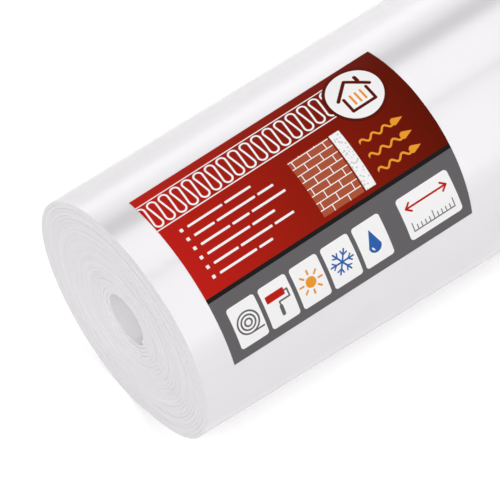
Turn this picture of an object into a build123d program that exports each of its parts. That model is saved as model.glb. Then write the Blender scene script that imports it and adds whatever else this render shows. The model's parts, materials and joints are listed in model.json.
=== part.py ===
from build123d import *

import os
from math import sin

# A roll of foamed wall-lining sheet, lying on its side, with a paper label on its face.
# It lies along X with X = 0 midway between its ends, and its lowest line is on the plane Z = 0.
# Lengths are in millimetres and angles in degrees.

# The wound sheet
SHEET_WIDTH = 500.0
SHEET_THICKNESS = 3.0
TURN_COUNT = 27
BORE_DIAMETER = 38.0

# The rolled edges that show on each end
SEAM_WIDTH = 0.5
SEAM_DEPTH = 0.9
EDGE_ROUND = 1.2

# The label, as it lies flat before it is glued on
LABEL_LENGTH = 219.4
LABEL_HEIGHT = 153.5
LABEL_BOW = 5.4
LABEL_THICKNESS = 0.2
LABEL_GLUE = 0.05
LABEL_MARGIN = 30.2
LABEL_FACING = 65.2
LABEL_SKEW = 1.4

CUT_OVERRUN = 5.0

bore_radius = BORE_DIAMETER / 2
outer_radius = bore_radius + TURN_COUNT * SHEET_THICKNESS
near_end = -SHEET_WIDTH / 2
roll_axis = Axis((0, 0, outer_radius), (1, 0, 0))


def end_outline(end, inward):
    """Points of one end of the roll's half section, from the bore out: a flat land per turn, a seam between turns."""
    points = [(end, outer_radius + bore_radius)]
    for turn in range(1, TURN_COUNT):
        seam = outer_radius + bore_radius + turn * SHEET_THICKNESS
        points.append((end, seam - SEAM_WIDTH / 2))
        points.append((end + inward * SEAM_DEPTH, seam))
        points.append((end, seam + SEAM_WIDTH / 2))
    points.append((end, outer_radius + outer_radius))
    return points


def liner_roll():
    """The wound sheet as one turned solid: the bore, the outer face and the edges of the turns on both ends."""
    near = end_outline(near_end, 1)
    far = end_outline(-near_end, -1)
    section = make_face(Polyline(*near, *reversed(far), close=True))
    rims = section.vertices().group_by(Axis.Y)[-1]
    section = fillet(rims, EDGE_ROUND)
    return revolve(Plane.XZ * section, roll_axis)


def label():
    """The paper label, bent round the roll and a little askew, on the side that faces up and forward.

    Its far side is square to the roll and bows outwards.
    """
    inner_radius = outer_radius + LABEL_GLUE
    sleeve_length = LABEL_LENGTH + LABEL_HEIGHT
    along_roll = Rotation(0, 90, 0)
    sleeve = along_roll * Cylinder(inner_radius + LABEL_THICKNESS, sleeve_length)
    sleeve -= along_roll * Cylinder(inner_radius, sleeve_length)
    half_chord = inner_radius * sin(LABEL_HEIGHT / (2 * inner_radius))
    reach = inner_radius + LABEL_THICKNESS + CUT_OVERRUN
    near_side = -LABEL_LENGTH / 2
    blank = Box(LABEL_LENGTH + CUT_OVERRUN, 2 * half_chord, reach, align=(Align.MIN, Align.CENTER, Align.MIN))
    bow_radius = (half_chord**2 + LABEL_BOW**2) / (2 * LABEL_BOW)
    bow = Cylinder(bow_radius, reach, align=(Align.CENTER, Align.CENTER, Align.MIN))
    bent = sleeve & (Rotation(0, 0, LABEL_SKEW) * Pos(near_side, 0, 0) * blank)
    bent &= Pos(-near_side - bow_radius, 0, 0) * bow
    centre = near_end + LABEL_MARGIN + LABEL_LENGTH / 2
    lean = 90 - LABEL_FACING
    return Pos(centre, 0, outer_radius) * Rotation(lean, 0, 0) * bent


os.makedirs("parts", exist_ok=True)
for name, solid in (("liner_roll", liner_roll()), ("label", label())):
    export_step(solid, f"parts/{name}.step")
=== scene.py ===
import json
from math import acos, atan2, cos, floor, pi, radians, sin, tan

import bmesh
import bpy
from mathutils import Matrix, Vector


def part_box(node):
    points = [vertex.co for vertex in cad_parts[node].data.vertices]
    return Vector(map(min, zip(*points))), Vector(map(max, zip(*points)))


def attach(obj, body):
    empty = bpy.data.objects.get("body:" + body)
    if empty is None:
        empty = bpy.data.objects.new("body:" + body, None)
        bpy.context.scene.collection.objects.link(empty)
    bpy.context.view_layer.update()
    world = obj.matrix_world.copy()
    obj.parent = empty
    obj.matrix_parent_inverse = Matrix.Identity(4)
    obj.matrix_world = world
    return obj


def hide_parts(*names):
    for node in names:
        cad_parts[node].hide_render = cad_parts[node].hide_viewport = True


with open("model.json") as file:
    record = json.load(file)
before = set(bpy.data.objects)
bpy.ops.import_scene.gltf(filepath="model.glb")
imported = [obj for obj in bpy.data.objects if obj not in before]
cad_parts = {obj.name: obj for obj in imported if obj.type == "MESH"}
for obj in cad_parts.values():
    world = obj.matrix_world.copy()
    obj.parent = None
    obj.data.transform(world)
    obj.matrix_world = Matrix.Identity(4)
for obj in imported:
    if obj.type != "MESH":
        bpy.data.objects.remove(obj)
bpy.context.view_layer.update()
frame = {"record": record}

# A roll of foamed wall-lining sheet lying on its side, with a printed paper leaf glued to its face.
# Lengths are in metres and angles in degrees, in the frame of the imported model.
# An angle round the roll is 0 towards -Y, 90 upwards and 180 towards +Y.

MM_IN_METRE = 1000

# The wound sheet, which is cut across in two passes so that it bends smoothly
TURN_COUNT = 27
TURN_GAP = 0.00006
CUT_ROUND = 0.00022
CUT_ROUND_STEPS = 2
BEND_CUTS = (59, 53)
STEPS_PER_TURN = 180
SHEET_SMOOTH_ANGLE = 15.0

# The sheet's outer end, which is pressed thinner
TAIL_ANGLE = 283.0
TAIL_THIN_LENGTH = 0.026
TAIL_THINNING = 0.0019
TAIL_CUTS = 11

# The core is an even spiral, and the outer turns are round with a short step out to the next turn
EVEN_TURNS = 6
SETTLED_TURNS = 22
STEP_SHARE = 0.12

# The winding's faults: waves of the edge (size, waves in a turn, start in radians), a sunk core and a lean
EDGE_WAVES = ((0.00013, 0.37, 0.0), (0.00007, 1.61, 2.1), (0.00004, 4.43, 0.7))
CORE_SINK = 0.0019
CORE_SINK_TURNS = 4.0
WINDING_LEAN = 1.4
LEAN_FACING = 153.0

# The leaf, as it lies flat before it is glued on
LEAF_LENGTH = 0.2194
LEAF_HEIGHT = 0.1535
LEAF_BOW = 0.0054
LEAF_BOW_STEPS = 1024
LEAF_THICKNESS = 0.0002
LEAF_GLUE = 0.00005
LEAF_FACING = 65.2
LEAF_SKEW = 1.4
LEAF_CELLS = (72, 88)
LEAF_SMOOTH_ANGLE = 50.0

# The leaf's inks
WHITE_INK = (0.93, 0.92, 0.92, 1)
PALE_INK = (0.55, 0.56, 0.58, 1)
RED_INK = (0.52, 0.0125, 0.0075, 1)
MIDDLE_RED_INK = (0.305, 0.0105, 0.003, 1)
DARK_RED_INK = (0.112, 0.0055, 0.0003, 1)
BRICK_INK = (0.42, 0.09, 0.04, 1)
CHARCOAL_INK = (0.133, 0.124, 0.131, 1)
BLACK_INK = (0.012, 0.011, 0.012, 1)
ORANGE_INK = (0.85, 0.33, 0.03, 1)
BLUE_INK = (0.03, 0.12, 0.42, 1)

# Runs of tones, each tone with its place along the run from 0 to 1
SKIN_TONES = ((0.0, (0.722, 0.697, 0.722, 1)), (1.0, (0.752, 0.727, 0.752, 1)))
BACK_TONES = ((0.0, (0.92, 0.905, 0.92, 1)), (1.0, (0.96, 0.945, 0.96, 1)))
CUT_TONES = ((0.3, (0.852, 0.83, 0.852, 1)), (0.7, (0.902, 0.88, 0.902, 1)))
PAPER_EDGE_TONES = ((0.0, (0.75, 0.74, 0.72, 1)), (1.0, (0.88, 0.87, 0.85, 1)))
RED_FIELD_TONES = ((0.0, RED_INK), (0.45, MIDDLE_RED_INK), (1.0, DARK_RED_INK))

# The print's places and sizes are in millimetres, from the leaf's lower left corner.
# A line on it is the places that it joins and half its width, with another half width for a tapered end.
# A panel on it is its middle, its size and the radius of its corners.
LEAF_MM = (LEAF_LENGTH * MM_IN_METRE, LEAF_HEIGHT * MM_IN_METRE)
INK_BLEED = 0.1
PRINT_OVERRUN = 4.0
SHARP_CORNER = 0.1

# The charcoal band along the lower side, and the black rule above it
BAND_MIDDLE = 25.0
BAND_HEIGHT = 58.0
RULE_MIDDLE = 55.5
RULE_HEIGHT = 3.4

# The band with the drawing sign for lagging
LAGGING_START = -2.0
LAGGING_END = 184.0
LAGGING_MIDDLE = 132.0
LAGGING_HEIGHT = 26.0
LAGGING_RULE_HALF = 0.45
LOOP_HALF = 0.75
LOOP_STEP = 5.2
LOOP_RISE = 7.4
LOOP_RADIUS = 3.5

# The warm house in a disc, drawn from the disc's middle
HOUSE_PLACE = (184.0, 127.0)
HOUSE_DISC_RADIUS = 24.0
HOUSE_DISC_RIM = 2.5
HOUSE_LINES = (
    (((-14, 1), (0, 13.5), (14, 1)), 1.4),
    (((8.5, 8), (8.5, 12)), 1.5),
    (((-10, 0), (-10, -12), (10, -12), (10, 0)), 1.2),
)
HOUSE_WARMTH = [(((x, -8), (x, 0)), 0.9) for x in (-4.5, 0, 4.5)]

# The list: the lengths of the dashes in each row, from the top row down
LIST_ROWS = ((31, 23), (18, 34, 14), (26, 15, 30), (38, 20), (22, 28, 17), (33, 12))
LIST_TOP = 109.5
LIST_STEP = 8.2
LIST_MARK_X = 14.5
LIST_MARK_SIZE = (2.6, 2.6)
LIST_MARK_CORNER = 0.3
LIST_DASH_X = 20.0
LIST_DASH_HEIGHT = 1.8
LIST_DASH_CORNER = 0.5
LIST_DASH_GAP = 2.4

# The lined wall, and the wavy arrows of warmth beside it
WALL_PANEL = ((127, 85), (36, 48), 0.4)
BRICK_LENGTH = 14.0
BRICK_COURSE = 6.0
MORTAR_HALF = 0.4
LINING_PANEL = ((151, 85), (9, 48), 0.4)
BUBBLES_PER_MM = 0.42
BUBBLE_SHARE = 0.28
WARMTH_X = 162.0
WARMTH_ROWS = (68, 80, 92)
WARMTH_WAVE = {"height": 1.7, "length": 10.0, "half": 0.8}
WARMTH_WAVE_PANEL = ((15, 0), (30, 8), 0.2)
WARMTH_HEAD = (((31, 0), (38, 0)), 2.9, 0.2)

# The row of white fields, and the signs drawn from the fields' middles
SIGN_FIRST_X = 21.5
SIGN_STEP = 28.0
SIGN_MIDDLE = 25.5
SIGN_SIZE = (24.5, 35.0)
SIGN_CORNER = 2.5
ROLL_RINGS = (9.6, 8.2, 6.6, 5.2, 3.6, 2.2)
ROLL_TAIL = (((0, -8.9), (10.5, -8.9)), 0.7)
ROLLER_SLEEVE = ((-1.5, 6.5), (16, 6), 1)
ROLLER_ROD = (((6.5, 6.5), (9, 6.5), (9, 0.5), (0, 0.5), (0, -3)), 0.7)
ROLLER_HANDLE = (((0, -3.5), (0, -10)), 1.5)
SUN_RADIUS = 4.4
SUN_RAYS = 8.0
SUN_RAY = (((6.6, 0), (9.6, 0)), 0.8)
SNOW_ARMS = 6.0
SNOW_ARM = (((0, 0), (9.6, 0)), 0.7)
SNOW_TWIG = (((5.2, 0), (7.8, 2.6)), 0.6)
DROP = (((0, -3.5), (0, 9.5)), 5.4, 0.3)
DROP_GLINT = (((-2.6, -4.2), (-1.6, -6)), 0.6)

# The white field with a two-headed arrow over a scale
MEASURE_PANEL = ((184, 25.5), (46, 35), 3)
ARROW_PLACE = (184.0, 33.0)
ARROW_LINES = (
    (((-17, 0), (17, 0)), 0.8),
    (((-14, 3.4), (-18, 0), (-14, -3.4)), 0.8),
    (((14, 3.4), (18, 0), (14, -3.4)), 0.8),
)
SCALE_PLACE = (166.0, 14.0)
SCALE_STEPS = 10
SCALE_STEP = 3.6
SCALE_LONG_EVERY = 5
SCALE_LONG_MARK = 7.0
SCALE_SHORT_MARK = 4.0
SCALE_BASE_HALF = 0.5
SCALE_MARK_HALF = 0.4

# The floor's tone for the light that it throws back and for what is seen of it
FLOOR_SIZE = 30.0
FLOOR_TONE = 0.92
FLOOR_SEEN_TONE = 1.3

# Soft boxes over the roll's face: name, angle round the roll, width round the roll and glow
FACE_BOX_REACH = 3.0
FACE_BOX_SIDE = 0.9
FACE_BOX_LENGTH = 1.4
FACE_BOXES = (
    ("front_box", 48.5, 3.82, 1.78),
    ("front_skirt", 8.0, 0.84, 0.5),
    ("top_box", 106.0, 2.38, 1.84),
    ("back_box", 164.5, 2.01, 1.25),
)

# Large soft boxes beside the near end: name, angle round the roll, glow and whether gloss shows it
END_BOX_REACH = 4.8
END_BOX_SIDE = -3.55
END_BOX_SIZE = 4.0
END_BOXES = (("near_side_box", 58.0, 3.47, False), ("far_side_box", 140.0, 1.06, True))

# The small fill behind the roll
FILL_ANGLE = 166.0
FILL_REACH = 1.1
FILL_SIDE = 0.6
FILL_WIDTH = 0.6
FILL_LENGTH = 1.2
FILL_GLOW = 1.22

# The light from all round, which changes over from horizon to sky between two heights of a unit sphere
HORIZON_LIGHT = 0.2
SKY_LIGHT = 0.2
HORIZON_TOP = 0.12
SKY_START = 0.42

# The camera
CAMERA_AZIMUTH = -35.83
CAMERA_ELEVATION = 57.93
CAMERA_TARGET = (-0.1385, -0.0035, 0.0981)
CAMERA_LENS_MM = 1500.0
CAMERA_CLIP_END = 100.0
SENSOR_MM = 36.0
VIEW_WIDTH = 0.3609

# The least share of a direction along an axis that counts as along that axis
ALONG_SHARE = 0.9

# Sockets of a node that mixes two colours
MIX_SHARE = 0
MIX_UNDER = 6
MIX_OVER = 7
MIX_RESULT = 2

# Sizes from the frame, and what follows from them
bore = next(mount for mount in frame["record"]["mounts"] if mount["kind"] == "bore")
roll_low, roll_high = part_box("liner_roll")
leaf_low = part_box("label")[0]
axis_height = bore["pos_m"][2]
roll_radius = axis_height
bore_radius = bore["dims"]["r_mm"] / MM_IN_METRE
turn_pitch = (roll_radius - bore_radius) / TURN_COUNT
sheet_thickness = turn_pitch - TURN_GAP
edge_wander = sum(size for size, rate, start in EDGE_WAVES)
lean_slope = tan(radians(WINDING_LEAN))
sheet_width = roll_high.x - roll_low.x - 2 * (edge_wander + lean_slope * roll_radius) - CORE_SINK
wound_turns = TURN_COUNT - STEP_SHARE


def ease(value):
    """0 to 1 with a soft start and a soft end."""
    value = min(max(value, 0.0), 1.0)
    return value * value * (3 - 2 * value)


def deselect():
    bpy.ops.object.select_all(action="DESELECT")


def pick_piece(piece):
    """Makes one piece the active and only selected one."""
    deselect()
    piece.select_set(True)
    bpy.context.view_layer.objects.active = piece


def pick(piece, kind, test):
    """Selects, in edit mode, only those faces or edges of a piece that pass a test."""
    mesh = bmesh.from_edit_mesh(piece.data)
    for part in mesh.verts:
        part.select_set(False)
    for part in getattr(mesh, kind):
        part.select_set(test(part))
    bmesh.update_edit_mesh(piece.data)


def apply_modifier(piece, kind, **settings):
    """Adds one modifier to the active piece and applies it."""
    modifier = piece.modifiers.new(kind.lower(), kind)
    for name, value in settings.items():
        setattr(modifier, name, value)
    bpy.ops.object.modifier_apply(modifier=modifier.name)


def apply_place():
    """Puts the selected piece's place, turn and scale into its mesh."""
    bpy.ops.object.transform_apply(location=True, rotation=True, scale=True)


# Nodes

def add_node(tree, kind, sockets=None, **settings):
    """A shader node with its settings, and its sockets set to values or joined to other sockets."""
    node = tree.nodes.new(kind)
    for name, value in settings.items():
        setattr(node, name, value)
    for name, value in (sockets or {}).items():
        if isinstance(value, bpy.types.NodeSocket):
            tree.links.new(value, node.inputs[name])
        else:
            node.inputs[name].default_value = value
    return node


def number(tree, operation, *values):
    """The result of one sum on numbers."""
    return add_node(tree, "ShaderNodeMath", dict(enumerate(values)), operation=operation).outputs[0]


def vector(tree, operation, *values):
    """The result of one sum on vectors."""
    node = add_node(tree, "ShaderNodeVectorMath", dict(enumerate(values)), operation=operation)
    return next(output for output in node.outputs if output.enabled)


def between(tree, share, low, high):
    """The number that lies that share of the way from low to high."""
    sockets = {"Value": share, "To Min": low, "To Max": high}
    return add_node(tree, "ShaderNodeMapRange", sockets).outputs[0]


def tone_run(tree, share, tones):
    """The tone that lies that share of the way along a run of tones."""
    ramp = add_node(tree, "ShaderNodeValToRGB", {"Fac": share})
    elements = ramp.color_ramp.elements
    first, *others, last = tones
    for element, (place, tone) in ((elements[0], first), (elements[1], last)):
        element.position = place
        element.color = tone
    for place, tone in others:
        elements.new(place).color = tone
    return ramp.outputs["Color"]


def add_bump(tree, shader, height, strength, depth):
    """Gives a shader fine relief, that deep in metres at full strength."""
    bump = add_node(tree, "ShaderNodeBump", {"Height": height, "Strength": strength, "Distance": depth})
    tree.links.new(bump.outputs["Normal"], shader.inputs["Normal"])


def new_material(name, **sockets):
    """A material with its node tree and its shader, whose plain values are set here."""
    material = bpy.data.materials.new(name)
    material.use_nodes = True
    tree = material.node_tree
    shader = tree.nodes["Principled BSDF"]
    for socket, value in sockets.items():
        shader.inputs[socket.replace("_", " ")].default_value = value
    return material, tree, shader


# The foam's finishes

def foam_skin():
    """The smooth satin face of the foamed sheet."""
    material, tree, shader = new_material("foam_skin", Roughness=0.25, IOR=2.6)
    place = add_node(tree, "ShaderNodeTexCoord").outputs["Object"]
    cloud = add_node(tree, "ShaderNodeTexNoise", {"Vector": place, "Scale": 30.0, "Detail": 3.0})
    tree.links.new(tone_run(tree, cloud.outputs["Fac"], SKIN_TONES), shader.inputs["Base Color"])
    cells = add_node(tree, "ShaderNodeTexVoronoi", {"Vector": place, "Scale": 900.0})
    add_bump(tree, shader, cells.outputs["Distance"], strength=0.05, depth=0.0002)
    return material


def foam_back():
    """The matt inner face of the foamed sheet, which shows in the bore."""
    material, tree, shader = new_material("foam_back", Roughness=0.75, Specular_IOR_Level=0.2)
    place = add_node(tree, "ShaderNodeTexCoord").outputs["Object"]
    cells = add_node(tree, "ShaderNodeTexNoise", {"Vector": place, "Scale": 700.0, "Detail": 3.0})
    tree.links.new(tone_run(tree, cells.outputs["Fac"], BACK_TONES), shader.inputs["Base Color"])
    add_bump(tree, shader, cells.outputs["Fac"], strength=0.2, depth=0.0002)
    return material


def foam_cut():
    """The sawn edge of the foamed sheet: matt, with open cells and a tone that varies from turn to turn."""
    material, tree, shader = new_material("foam_cut", Roughness=0.8, Specular_IOR_Level=0.2)
    place = add_node(tree, "ShaderNodeTexCoord").outputs
    along = add_node(tree, "ShaderNodeTexNoise", {"Vector": place["UV"], "Scale": 6.0, "Detail": 2.0})
    tree.links.new(tone_run(tree, along.outputs["Fac"], CUT_TONES), shader.inputs["Base Color"])
    cells = add_node(tree, "ShaderNodeTexNoise", {"Vector": place["Object"], "Scale": 1400.0, "Detail": 2.0})
    add_bump(tree, shader, cells.outputs["Fac"], strength=0.3, depth=0.0003)
    return material


# Shapes for the leaf's print

def ink_inside(tree, distance):
    """A mask that is 1 where a distance from an outline is below 0, with the slight bleed of ink."""
    share = {"Value": distance, "From Min": -INK_BLEED, "From Max": INK_BLEED, "To Min": 1.0, "To Max": 0.0}
    return add_node(tree, "ShaderNodeMapRange", share).outputs[0]


def new_group(name, **sockets):
    """An empty node group with its inputs. Its one output is made by finish_group."""
    group = bpy.data.node_groups.new(name, "ShaderNodeTree")
    for socket, kind in sockets.items():
        group.interface.new_socket(socket, in_out="INPUT", socket_type="NodeSocket" + kind)
    return group, group.nodes.new("NodeGroupInput").outputs


def finish_group(group, result):
    """Gives a group its one output."""
    kind = "NodeSocketVector" if result.type == "VECTOR" else "NodeSocketFloat"
    group.interface.new_socket("result", in_out="OUTPUT", socket_type=kind)
    group.links.new(result, group.nodes.new("NodeGroupOutput").inputs[0])
    return group


def stroke_group():
    """A round-ended stroke between two points, with a half width at each end."""
    inputs = {"point": "Vector", "start": "Vector", "end": "Vector", "half": "Float", "end_half": "Float"}
    group, given = new_group("stroke", **inputs)
    way = vector(group, "SUBTRACT", given["end"], given["start"])
    place = vector(group, "SUBTRACT", given["point"], given["start"])
    square = vector(group, "DOT_PRODUCT", way, way)
    share = number(group, "DIVIDE", vector(group, "DOT_PRODUCT", place, way), square)
    share = number(group, "MINIMUM", number(group, "MAXIMUM", share, 0.0), 1.0)
    scaled = {0: way, "Scale": share}
    nearest = add_node(group, "ShaderNodeVectorMath", scaled, operation="SCALE").outputs[0]
    apart = vector(group, "LENGTH", vector(group, "SUBTRACT", place, nearest))
    half = between(group, share, given["half"], given["end_half"])
    return finish_group(group, ink_inside(group, number(group, "SUBTRACT", apart, half)))


def panel_group():
    """A rectangle with rounded corners: its half size is given up to where the rounding starts."""
    group, given = new_group("panel", point="Vector", centre="Vector", half="Vector", corner="Float")
    place = vector(group, "ABSOLUTE", vector(group, "SUBTRACT", given["point"], given["centre"]))
    over = vector(group, "MAXIMUM", vector(group, "SUBTRACT", place, given["half"]), (0, 0, 0))
    apart = number(group, "SUBTRACT", vector(group, "LENGTH", over), given["corner"])
    return finish_group(group, ink_inside(group, apart))


def fan_group():
    """Folds the points round a centre into half a sector, so that a line along X repeats all round."""
    group, given = new_group("fan", point="Vector", sectors="Float")
    flat = add_node(group, "ShaderNodeSeparateXYZ", {"Vector": given["point"]}).outputs
    turn = number(group, "ARCTAN2", flat["Y"], flat["X"])
    turn = number(group, "PINGPONG", turn, number(group, "DIVIDE", pi, given["sectors"]))
    reach = vector(group, "LENGTH", given["point"])
    across = number(group, "MULTIPLY", reach, number(group, "COSINE", turn))
    up = number(group, "MULTIPLY", reach, number(group, "SINE", turn))
    return finish_group(group, add_node(group, "ShaderNodeCombineXYZ", {"X": across, "Y": up}).outputs[0])


def wave_group():
    """A wavy line along X, of even width, round Y of 0."""
    group, given = new_group("wave", point="Vector", height="Float", length="Float", half="Float")
    flat = add_node(group, "ShaderNodeSeparateXYZ", {"Vector": given["point"]}).outputs
    rate = number(group, "DIVIDE", 2 * pi, given["length"])
    phase = number(group, "MULTIPLY", flat["X"], rate)
    rise = number(group, "MULTIPLY", number(group, "SINE", phase), given["height"])
    steepest = number(group, "MULTIPLY", given["height"], rate)
    slope = number(group, "MULTIPLY", number(group, "COSINE", phase), steepest)
    stretch = number(group, "SQRT", number(group, "ADD", number(group, "MULTIPLY", slope, slope), 1.0))
    above = number(group, "ABSOLUTE", number(group, "SUBTRACT", flat["Y"], rise))
    apart = number(group, "DIVIDE", above, stretch)
    return finish_group(group, ink_inside(group, number(group, "SUBTRACT", apart, given["half"])))


class Design:
    """The leaf's print: each motif is inked over what is there before it. Shapes are lists of masks."""

    def __init__(self, tree, point, colour):
        self.tree = tree
        self.point = point
        self.colour = colour
        self.groups = {
            "stroke": stroke_group(),
            "panel": panel_group(),
            "fan": fan_group(),
            "wave": wave_group(),
        }

    def use(self, kind, **sockets):
        """The result of one of the groups."""
        return add_node(self.tree, "ShaderNodeGroup", sockets, node_tree=self.groups[kind]).outputs[0]

    def around(self, place):
        """The leaf's points, measured from a place on it."""
        return vector(self.tree, "SUBTRACT", self.point, (*place, 0))

    def line(self, point, places, half, end_half=None):
        """Strokes from place to place."""
        halves = {"half": half, "end_half": half if end_half is None else end_half}
        masks = []
        for start, end in zip(places, places[1:]):
            masks.append(self.use("stroke", point=point, start=(*start, 0), end=(*end, 0), **halves))
        return masks

    def lines(self, point, drawing):
        """A drawing of several lines."""
        return [mask for line in drawing for mask in self.line(point, *line)]

    def disc(self, point, place, radius):
        """A stroke of no length, which is round."""
        return self.line(point, (place, place), radius)

    def panel(self, point, place, size, corner):
        """A rectangle with rounded corners."""
        half = (size[0] / 2 - corner, size[1] / 2 - corner, 0)
        return [self.use("panel", point=point, centre=(*place, 0), half=half, corner=corner)]

    def join(self, masks):
        """One mask of several."""
        mask = masks[0]
        for other in masks[1:]:
            mask = number(self.tree, "MAXIMUM", mask, other)
        return mask

    def within(self, masks, field_masks):
        """Masks, kept only inside others."""
        return [number(self.tree, "MULTIPLY", self.join(masks), self.join(field_masks))]

    def ink(self, colour, masks):
        """Lays a colour over the print where the masks are."""
        sockets = {MIX_SHARE: self.join(masks), MIX_UNDER: self.colour, MIX_OVER: colour}
        self.colour = add_node(self.tree, "ShaderNodeMix", sockets, data_type="RGBA").outputs[MIX_RESULT]


# The leaf's motifs

def print_bars(design):
    """The charcoal band along the leaf's lower side, and the black rule above it."""
    bars = ((CHARCOAL_INK, BAND_MIDDLE, BAND_HEIGHT), (BLACK_INK, RULE_MIDDLE, RULE_HEIGHT))
    for colour, middle, height in bars:
        size = (LEAF_MM[0] + PRINT_OVERRUN, height)
        design.ink(colour, design.panel(design.point, (LEAF_MM[0] / 2, middle), size, SHARP_CORNER))


def lagging_line(design, point):
    """The looped line that drawings use for lagging: high and low loops by turns, joined by slants."""
    tree = design.tree
    flat = add_node(tree, "ShaderNodeSeparateXYZ", {"Vector": point}).outputs
    across = number(tree, "PINGPONG", flat["X"], LOOP_STEP)
    folded = add_node(tree, "ShaderNodeCombineXYZ", {"X": across, "Y": flat["Y"]}).outputs[0]
    high = Vector((0, LOOP_RISE))
    low = Vector((LOOP_STEP, -LOOP_RISE))
    way = low - high
    turn = atan2(way.y, way.x) + acos(2 * LOOP_RADIUS / way.length)
    out = LOOP_RADIUS * Vector((cos(turn), sin(turn)))
    masks = design.line(folded, (high + out, low - out), LOOP_HALF)
    for centre, touch, side in ((high, high + out, "GREATER_THAN"), (low, low - out, "LESS_THAN")):
        reach = vector(tree, "DISTANCE", folded, (*centre, 0))
        apart = number(tree, "ABSOLUTE", number(tree, "SUBTRACT", reach, LOOP_RADIUS))
        ring = ink_inside(tree, number(tree, "SUBTRACT", apart, LOOP_HALF))
        masks.append(number(tree, "MULTIPLY", ring, number(tree, side, flat["Y"], touch.y)))
    return masks


def print_lagging(design):
    """A band across the red field with the sign for lagging, between two thin rules."""
    rules = []
    for way in (-1, 1):
        y = LAGGING_MIDDLE + way * LAGGING_HEIGHT / 2
        rules += design.line(design.point, ((LAGGING_START, y), (LAGGING_END, y)), LAGGING_RULE_HALF)
    middle = ((LAGGING_START + LAGGING_END) / 2, LAGGING_MIDDLE)
    size = (LAGGING_END - LAGGING_START, LAGGING_HEIGHT + PRINT_OVERRUN)
    band = design.panel(design.point, middle, size, SHARP_CORNER)
    loops = lagging_line(design, design.around((0, LAGGING_MIDDLE)))
    design.ink(WHITE_INK, design.within(loops, band) + rules)


def print_house(design):
    """A warm house in a white disc."""
    design.ink(DARK_RED_INK, design.disc(design.point, HOUSE_PLACE, HOUSE_DISC_RADIUS))
    design.ink(WHITE_INK, design.disc(design.point, HOUSE_PLACE, HOUSE_DISC_RADIUS - HOUSE_DISC_RIM))
    house = design.around(HOUSE_PLACE)
    design.ink(DARK_RED_INK, design.lines(house, HOUSE_LINES))
    design.ink(ORANGE_INK, design.lines(house, HOUSE_WARMTH))


def print_list(design):
    """A plain list: a square mark and some dashes in each row."""
    marks = []
    for row, dashes in enumerate(LIST_ROWS):
        y = LIST_TOP - LIST_STEP * row
        marks += design.panel(design.point, (LIST_MARK_X, y), LIST_MARK_SIZE, LIST_MARK_CORNER)
        start = LIST_DASH_X
        for length in dashes:
            size = (length, LIST_DASH_HEIGHT)
            marks += design.panel(design.point, (start + length / 2, y), size, LIST_DASH_CORNER)
            start += length + LIST_DASH_GAP
    design.ink(WHITE_INK, marks)


def print_wall(design):
    """A cut through a lined wall: bricks and the foamed lining."""
    courses = {"Vector": design.point, "Scale": 1.0, "Brick Width": BRICK_LENGTH, "Row Height": BRICK_COURSE,
               "Mortar Size": MORTAR_HALF, "Mortar Smooth": 0.2}
    mortar = add_node(design.tree, "ShaderNodeTexBrick", courses).outputs["Fac"]
    wall = design.panel(design.point, *WALL_PANEL)
    design.ink(BRICK_INK, wall)
    design.ink(WHITE_INK, design.within([mortar], wall))
    lining = design.panel(design.point, *LINING_PANEL)
    cells = add_node(design.tree, "ShaderNodeTexVoronoi", {"Vector": design.point, "Scale": BUBBLES_PER_MM})
    over = number(design.tree, "SUBTRACT", cells.outputs["Distance"], BUBBLE_SHARE)
    bubbles = ink_inside(design.tree, over)
    design.ink(WHITE_INK, lining)
    design.ink(PALE_INK, design.within([bubbles], lining))


def print_warmth(design):
    """Wavy arrows on the room's side of the wall, for the warmth that stays there."""
    arrows = []
    for y in WARMTH_ROWS:
        start = design.around((WARMTH_X, y))
        wave = [design.use("wave", point=start, **WARMTH_WAVE)]
        arrows += design.within(wave, design.panel(start, *WARMTH_WAVE_PANEL))
        arrows += design.line(start, *WARMTH_HEAD)
    design.ink(ORANGE_INK, arrows)


def print_roll_end(design, point):
    """A roll seen from its end, with its loose tail."""
    design.ink(CHARCOAL_INK, design.line(point, *ROLL_TAIL))
    for index, radius in enumerate(ROLL_RINGS):
        design.ink(WHITE_INK if index % 2 else CHARCOAL_INK, design.disc(point, (0, 0), radius))


def print_roller(design, point):
    """A paint roller."""
    design.ink(CHARCOAL_INK, design.lines(point, (ROLLER_ROD, ROLLER_HANDLE)))
    design.ink(RED_INK, design.panel(point, *ROLLER_SLEEVE))


def print_sun(design, point):
    """The sun with its rays."""
    rays = design.line(design.use("fan", point=point, sectors=SUN_RAYS), *SUN_RAY)
    design.ink(ORANGE_INK, design.disc(point, (0, 0), SUN_RADIUS) + rays)


def print_snow(design, point):
    """A snowflake."""
    arm = design.use("fan", point=point, sectors=SNOW_ARMS)
    design.ink(BLUE_INK, design.lines(arm, (SNOW_ARM, SNOW_TWIG)))


def print_drop(design, point):
    """A drop of water with a glint."""
    design.ink(BLUE_INK, design.line(point, *DROP))
    design.ink(WHITE_INK, design.line(point, *DROP_GLINT))


def print_signs(design):
    """A row of white fields with a plain sign in each."""
    for index, sign in enumerate((print_roll_end, print_roller, print_sun, print_snow, print_drop)):
        place = (SIGN_FIRST_X + SIGN_STEP * index, SIGN_MIDDLE)
        design.ink(WHITE_INK, design.panel(design.point, place, SIGN_SIZE, SIGN_CORNER))
        sign(design, design.around(place))


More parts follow.
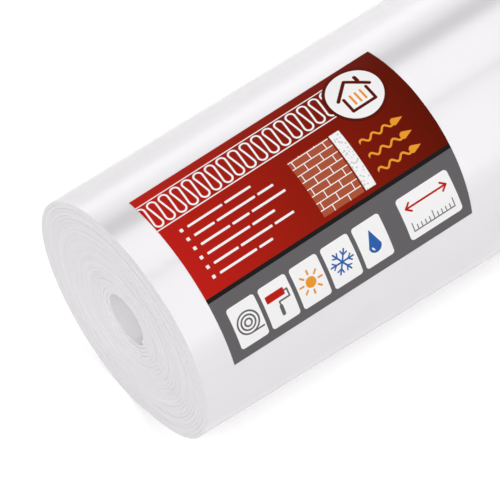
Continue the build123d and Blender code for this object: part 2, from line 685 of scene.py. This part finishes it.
def print_measure(design):
    """A white field near the far side with a two-headed arrow over a scale."""
    design.ink(WHITE_INK, design.panel(design.point, *MEASURE_PANEL))
    design.ink(RED_INK, design.lines(design.around(ARROW_PLACE), ARROW_LINES))
    left, foot = SCALE_PLACE
    right = left + SCALE_STEP * SCALE_STEPS
    marks = design.line(design.point, ((left, foot), (right, foot)), SCALE_BASE_HALF)
    for step in range(SCALE_STEPS + 1):
        x = left + SCALE_STEP * step
        height = SCALE_SHORT_MARK if step % SCALE_LONG_EVERY else SCALE_LONG_MARK
        marks += design.line(design.point, ((x, foot), (x, foot + height)), SCALE_MARK_HALF)
    design.ink(CHARCOAL_INK, marks)


# The leaf's finishes

def printed_paper():
    """The leaf's printed face: motifs on a red field that darkens along the roll."""
    material, tree, shader = new_material("printed_paper", Specular_IOR_Level=0.04)
    place = add_node(tree, "ShaderNodeTexCoord").outputs["UV"]
    point = vector(tree, "MULTIPLY", place, (*LEAF_MM, 0))
    across = add_node(tree, "ShaderNodeSeparateXYZ", {"Vector": place}).outputs["X"]
    design = Design(tree, point, tone_run(tree, across, RED_FIELD_TONES))
    print_bars(design)
    print_lagging(design)
    print_house(design)
    print_list(design)
    print_wall(design)
    print_warmth(design)
    print_signs(design)
    print_measure(design)
    tree.links.new(design.colour, shader.inputs["Base Color"])
    grain = {"Vector": point, "Scale": 1.6, "Detail": 4.0, "Roughness": 0.65}
    fibres = add_node(tree, "ShaderNodeTexNoise", grain).outputs["Fac"]
    tree.links.new(between(tree, fibres, low=0.4, high=0.6), shader.inputs["Roughness"])
    add_bump(tree, shader, fibres, strength=0.06, depth=0.0001)
    return material


def paper_edge():
    """The bare cut edge of the leaf."""
    material, tree, shader = new_material("paper_edge", Roughness=0.8)
    place = add_node(tree, "ShaderNodeTexCoord").outputs["Object"]
    fibres = add_node(tree, "ShaderNodeTexNoise", {"Vector": place, "Scale": 2500.0})
    tree.links.new(tone_run(tree, fibres.outputs["Fac"], PAPER_EDGE_TONES), shader.inputs["Base Color"])
    return material


# The wound sheet

def wound_point(turns):
    """The sheet's middle line, that many turns out from the core, on a roll whose axis is along Z."""
    level = floor(turns)
    part = turns - level
    stepped = ease((part - 1 + STEP_SHARE) / STEP_SHARE)
    settled = ease((turns - EVEN_TURNS) / (SETTLED_TURNS - EVEN_TURNS))
    climb = level + part + settled * (stepped - part)
    radius = roll_radius - sheet_thickness / 2 - (TURN_COUNT - 1 - climb) * turn_pitch
    angle = radians(-90 - TAIL_ANGLE + 360 * (wound_turns - turns))
    wander = sum(size * sin(2 * pi * rate * turns + start) for size, rate, start in EDGE_WAVES)
    sink = CORE_SINK * (1 - ease(turns / CORE_SINK_TURNS))
    return Vector((radius * cos(angle), radius * sin(angle), wander + sink))


def winding_path():
    """The spiral that the sheet is wound along, and its length."""
    count = round(wound_turns * STEPS_PER_TURN)
    points = [wound_point(wound_turns * step / count) for step in range(count + 1)]
    curve = bpy.data.curves.new("winding", "CURVE")
    curve.dimensions = "3D"
    curve.twist_mode = "Z_UP"
    spline = curve.splines.new("POLY")
    spline.points.add(count)
    for place, point in zip(spline.points, points):
        place.co = (*point, 1)
    path = bpy.data.objects.new("winding", curve)
    bpy.context.collection.objects.link(path)
    length = sum((b - a).length for a, b in zip(points, points[1:]))
    return path, length


def runs_along(edge):
    """Whether an edge of the flat sheet runs along its length."""
    return abs((edge.verts[1].co - edge.verts[0].co).normalized().x) > ALONG_SHARE


def is_cut(face):
    """Whether a face of the flat sheet is on one of its sawn edges."""
    return abs(face.normal.y) < ALONG_SHARE


def is_back(face):
    """Whether a face of the flat sheet is on the side that is wound inwards."""
    return face.normal.y < -ALONG_SHARE


def flat_sheet(length):
    """The sheet, cut flat, with its outer end pressed thinner and its sawn edges eased."""
    tail_start = length - TAIL_THIN_LENGTH
    tail_middle = length - TAIL_THIN_LENGTH / 2

    def on_end_lip(edge):
        """Whether an edge is the outer lip of the sheet's outer end."""
        return all(end.co.x > tail_middle and end.co.y > 0 for end in edge.verts)

    def in_tail(edge):
        """Whether an edge lies in the stretch that is pressed thinner."""
        return edge.verts[0].co.x + edge.verts[1].co.x > 2 * tail_start

    deselect()
    bpy.ops.mesh.primitive_cube_add(size=1, location=(length / 2, 0, 0))
    sheet = bpy.context.object
    sheet.name = "wound_sheet"
    sheet.scale = (length, sheet_thickness, sheet_width)
    apply_place()
    bpy.ops.object.mode_set(mode="EDIT")
    bpy.ops.mesh.select_all(action="SELECT")
    bpy.ops.mesh.bisect(plane_co=(tail_start, 0, 0), plane_no=(1, 0, 0))
    bpy.ops.mesh.select_mode(type="EDGE")
    pick(sheet, "edges", on_end_lip)
    bpy.ops.transform.translate(value=(0, -TAIL_THINNING, 0))
    pick(sheet, "edges", runs_along)
    bpy.ops.mesh.bevel(offset=CUT_ROUND, segments=CUT_ROUND_STEPS, affect="EDGES")
    pick(sheet, "edges", lambda edge: runs_along(edge) and in_tail(edge))
    bpy.ops.mesh.subdivide(number_cuts=TAIL_CUTS)
    for cuts in BEND_CUTS:
        pick(sheet, "edges", lambda edge: runs_along(edge) and not in_tail(edge))
        bpy.ops.mesh.subdivide(number_cuts=cuts)
    bpy.ops.object.mode_set(mode="OBJECT")
    return sheet


def finish_sheet(sheet):
    """Gives the flat sheet its skin, its sawn edges and its back, with a map in metres."""
    for finish in (foam_skin(), foam_cut(), foam_back()):
        sheet.data.materials.append(finish)
    bpy.ops.object.mode_set(mode="EDIT")
    bpy.ops.mesh.select_mode(type="FACE")
    for index, test in ((1, is_cut), (2, is_back)):
        pick(sheet, "faces", test)
        sheet.active_material_index = index
        bpy.ops.object.material_slot_assign()
    bpy.ops.object.mode_set(mode="OBJECT")
    flat_places = [sheet.data.vertices[loop.vertex_index].co for loop in sheet.data.loops]
    for place, corner in zip(flat_places, sheet.data.uv_layers.active.data):
        corner.uv = (place.x, place.z)


def liner_roll():
    """The sheet, wound up along the spiral and a little out of square."""
    path, sheet_length = winding_path()
    sheet = flat_sheet(sheet_length)
    finish_sheet(sheet)
    apply_modifier(sheet, "CURVE", object=path, deform_axis="POS_X")
    bpy.data.objects.remove(path)
    sheet.rotation_euler = (0, radians(90), 0)
    apply_place()
    lean = Matrix.Identity(4)
    lean[0][1] = lean_slope * cos(radians(LEAN_FACING))
    lean[0][2] = -lean_slope * sin(radians(LEAN_FACING))
    sheet.data.transform(lean)
    sheet.location = (-CORE_SINK / 2, 0, axis_height)
    apply_place()
    bpy.ops.object.shade_smooth_by_angle(angle=radians(SHEET_SMOOTH_ANGLE))
    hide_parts("liner_roll")
    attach(sheet, "root")


# The leaf

def leaf_trim(finish):
    """The round cutter that gives the leaf its bowed far side, square to the roll."""
    half_height = LEAF_HEIGHT / 2
    bow_radius = (half_height**2 + LEAF_BOW**2) / (2 * LEAF_BOW)
    middle = (LEAF_LENGTH / 2 - bow_radius, 0, 0)
    deselect()
    bpy.ops.mesh.primitive_cylinder_add(vertices=LEAF_BOW_STEPS, radius=bow_radius, depth=LEAF_HEIGHT,
                                        location=middle, rotation=(radians(90), 0, 0))
    trim = bpy.context.object
    trim.data.materials.append(finish)
    return trim


def label():
    """The paper leaf: a flat grid with the print's own map, given its thickness and bent round the roll."""
    outer_radius = roll_radius + LEAF_GLUE + LEAF_THICKNESS
    deselect()
    bpy.ops.mesh.primitive_grid_add(x_subdivisions=LEAF_CELLS[0], y_subdivisions=LEAF_CELLS[1], size=1)
    leaf = bpy.context.object
    leaf.name = "paper_leaf"
    leaf.scale = (LEAF_LENGTH, LEAF_HEIGHT, 1)
    apply_place()
    leaf.rotation_euler = (radians(90), radians(-LEAF_SKEW), 0)
    apply_place()
    edge = paper_edge()
    leaf.data.materials.append(printed_paper())
    leaf.data.materials.append(edge)
    apply_modifier(leaf, "SOLIDIFY", thickness=LEAF_THICKNESS, offset=-1, material_offset=1,
                   material_offset_rim=1)
    trim = leaf_trim(edge)
    pick_piece(leaf)
    apply_modifier(leaf, "BOOLEAN", operation="INTERSECT", object=trim, material_mode="TRANSFER")
    bpy.data.objects.remove(trim)
    bend_angle = leaf.dimensions.z / outer_radius
    apply_modifier(leaf, "SIMPLE_DEFORM", deform_method="BEND", deform_axis="X", angle=bend_angle)
    leaf.location.y = -outer_radius
    apply_place()
    leaf.rotation_euler = (radians(-LEAF_FACING), 0, 0)
    leaf.location = (leaf_low.x - min(vertex.co.x for vertex in leaf.data.vertices), 0, axis_height)
    apply_place()
    bpy.ops.object.shade_smooth_by_angle(angle=radians(LEAF_SMOOTH_ANGLE))
    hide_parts("label")
    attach(leaf, "root")


# The studio

def seen_directly(tree):
    """1 for what the camera sees straight, in gloss or through a clear surface, and 0 for other light."""
    rays = add_node(tree, "ShaderNodeLightPath").outputs
    straight = number(tree, "MAXIMUM", rays["Is Camera Ray"], rays["Is Glossy Ray"])
    return number(tree, "MAXIMUM", straight, rays["Is Transmission Ray"])


def floor_plane():
    """A plain pale floor that looks white and keeps the shadow."""
    deselect()
    bpy.ops.mesh.primitive_plane_add(size=FLOOR_SIZE)
    ground = bpy.context.object
    ground.name = "floor"
    material = bpy.data.materials.new("pale_floor")
    material.use_nodes = True
    tree = material.node_tree
    tree.nodes.clear()
    tone = between(tree, seen_directly(tree), FLOOR_TONE, FLOOR_SEEN_TONE)
    surface = add_node(tree, "ShaderNodeBsdfDiffuse", {"Color": tone})
    add_node(tree, "ShaderNodeOutputMaterial", {"Surface": surface.outputs[0]})
    ground.data.materials.append(material)


def softbox(name, angle, reach, side, width, length, glow, *, aim_side, in_gloss=True):
    """A soft light at an angle round the roll, that far from its axis and at side along X.

    Its width is measured round the roll and its length along it. It faces the axis at aim_side along X.
    """
    data = bpy.data.lights.new(name, "AREA")
    data.shape = "RECTANGLE"
    data.size = length
    data.size_y = width
    data.energy = pi * width * length * glow
    lamp = bpy.data.objects.new(name, data)
    bpy.context.collection.objects.link(lamp)
    turn = radians(angle)
    lamp.location = (side, -reach * cos(turn), axis_height + reach * sin(turn))
    aim = Vector((aim_side, 0, axis_height)) - lamp.location
    lamp.rotation_euler = aim.to_track_quat("-Z", "Y").to_euler()
    lamp.visible_camera = False
    lamp.visible_glossy = in_gloss


def studio_lights():
    """Boxes over the roll's face, large ones beside its near end, and a small fill behind it."""
    for name, angle, width, glow in FACE_BOXES:
        softbox(name, angle, FACE_BOX_REACH, FACE_BOX_SIDE, width, FACE_BOX_LENGTH, glow,
                aim_side=FACE_BOX_SIDE)
    for name, angle, glow, in_gloss in END_BOXES:
        softbox(name, angle, END_BOX_REACH, END_BOX_SIDE, END_BOX_SIZE, END_BOX_SIZE, glow,
                aim_side=roll_low.x, in_gloss=in_gloss)
    softbox("rear_fill", FILL_ANGLE, FILL_REACH, FILL_SIDE, FILL_WIDTH, FILL_LENGTH, FILL_GLOW,
            aim_side=FILL_SIDE, in_gloss=False)


def world_light():
    """Light from all round, with a horizon that looks white."""
    world = bpy.data.worlds.new("studio")
    bpy.context.scene.world = world
    world.use_nodes = True
    tree = world.node_tree
    direction = add_node(tree, "ShaderNodeTexCoord").outputs["Generated"]
    height = add_node(tree, "ShaderNodeSeparateXYZ", {"Vector": direction}).outputs["Z"]
    horizon = between(tree, seen_directly(tree), HORIZON_LIGHT, 1.0)
    rise = {"Value": height, "From Min": HORIZON_TOP, "From Max": SKY_START,
            "To Min": horizon, "To Max": SKY_LIGHT}
    strength = add_node(tree, "ShaderNodeMapRange", rise, interpolation_type="SMOOTHSTEP")
    background = tree.nodes["Background"]
    tree.links.new(strength.outputs[0], background.inputs["Strength"])
    background.inputs["Color"].default_value = (1, 1, 1, 1)


def camera():
    """A long lens at the photograph's viewing angle."""
    azimuth = radians(CAMERA_AZIMUTH)
    elevation = radians(CAMERA_ELEVATION)
    back = Vector((sin(azimuth) * cos(elevation), -cos(azimuth) * cos(elevation), sin(elevation)))
    data = bpy.data.cameras.new("camera")
    data.lens = CAMERA_LENS_MM
    data.sensor_width = SENSOR_MM
    data.clip_end = CAMERA_CLIP_END
    seer = bpy.data.objects.new("camera", data)
    bpy.context.collection.objects.link(seer)
    seer.location = Vector(CAMERA_TARGET) + back * (VIEW_WIDTH * CAMERA_LENS_MM / SENSOR_MM)
    seer.rotation_euler = (-back).to_track_quat("-Z", "Y").to_euler()
    bpy.context.scene.camera = seer


liner_roll()
label()
floor_plane()
studio_lights()
world_light()
camera()
bpy.context.scene.view_settings.view_transform = "Standard"
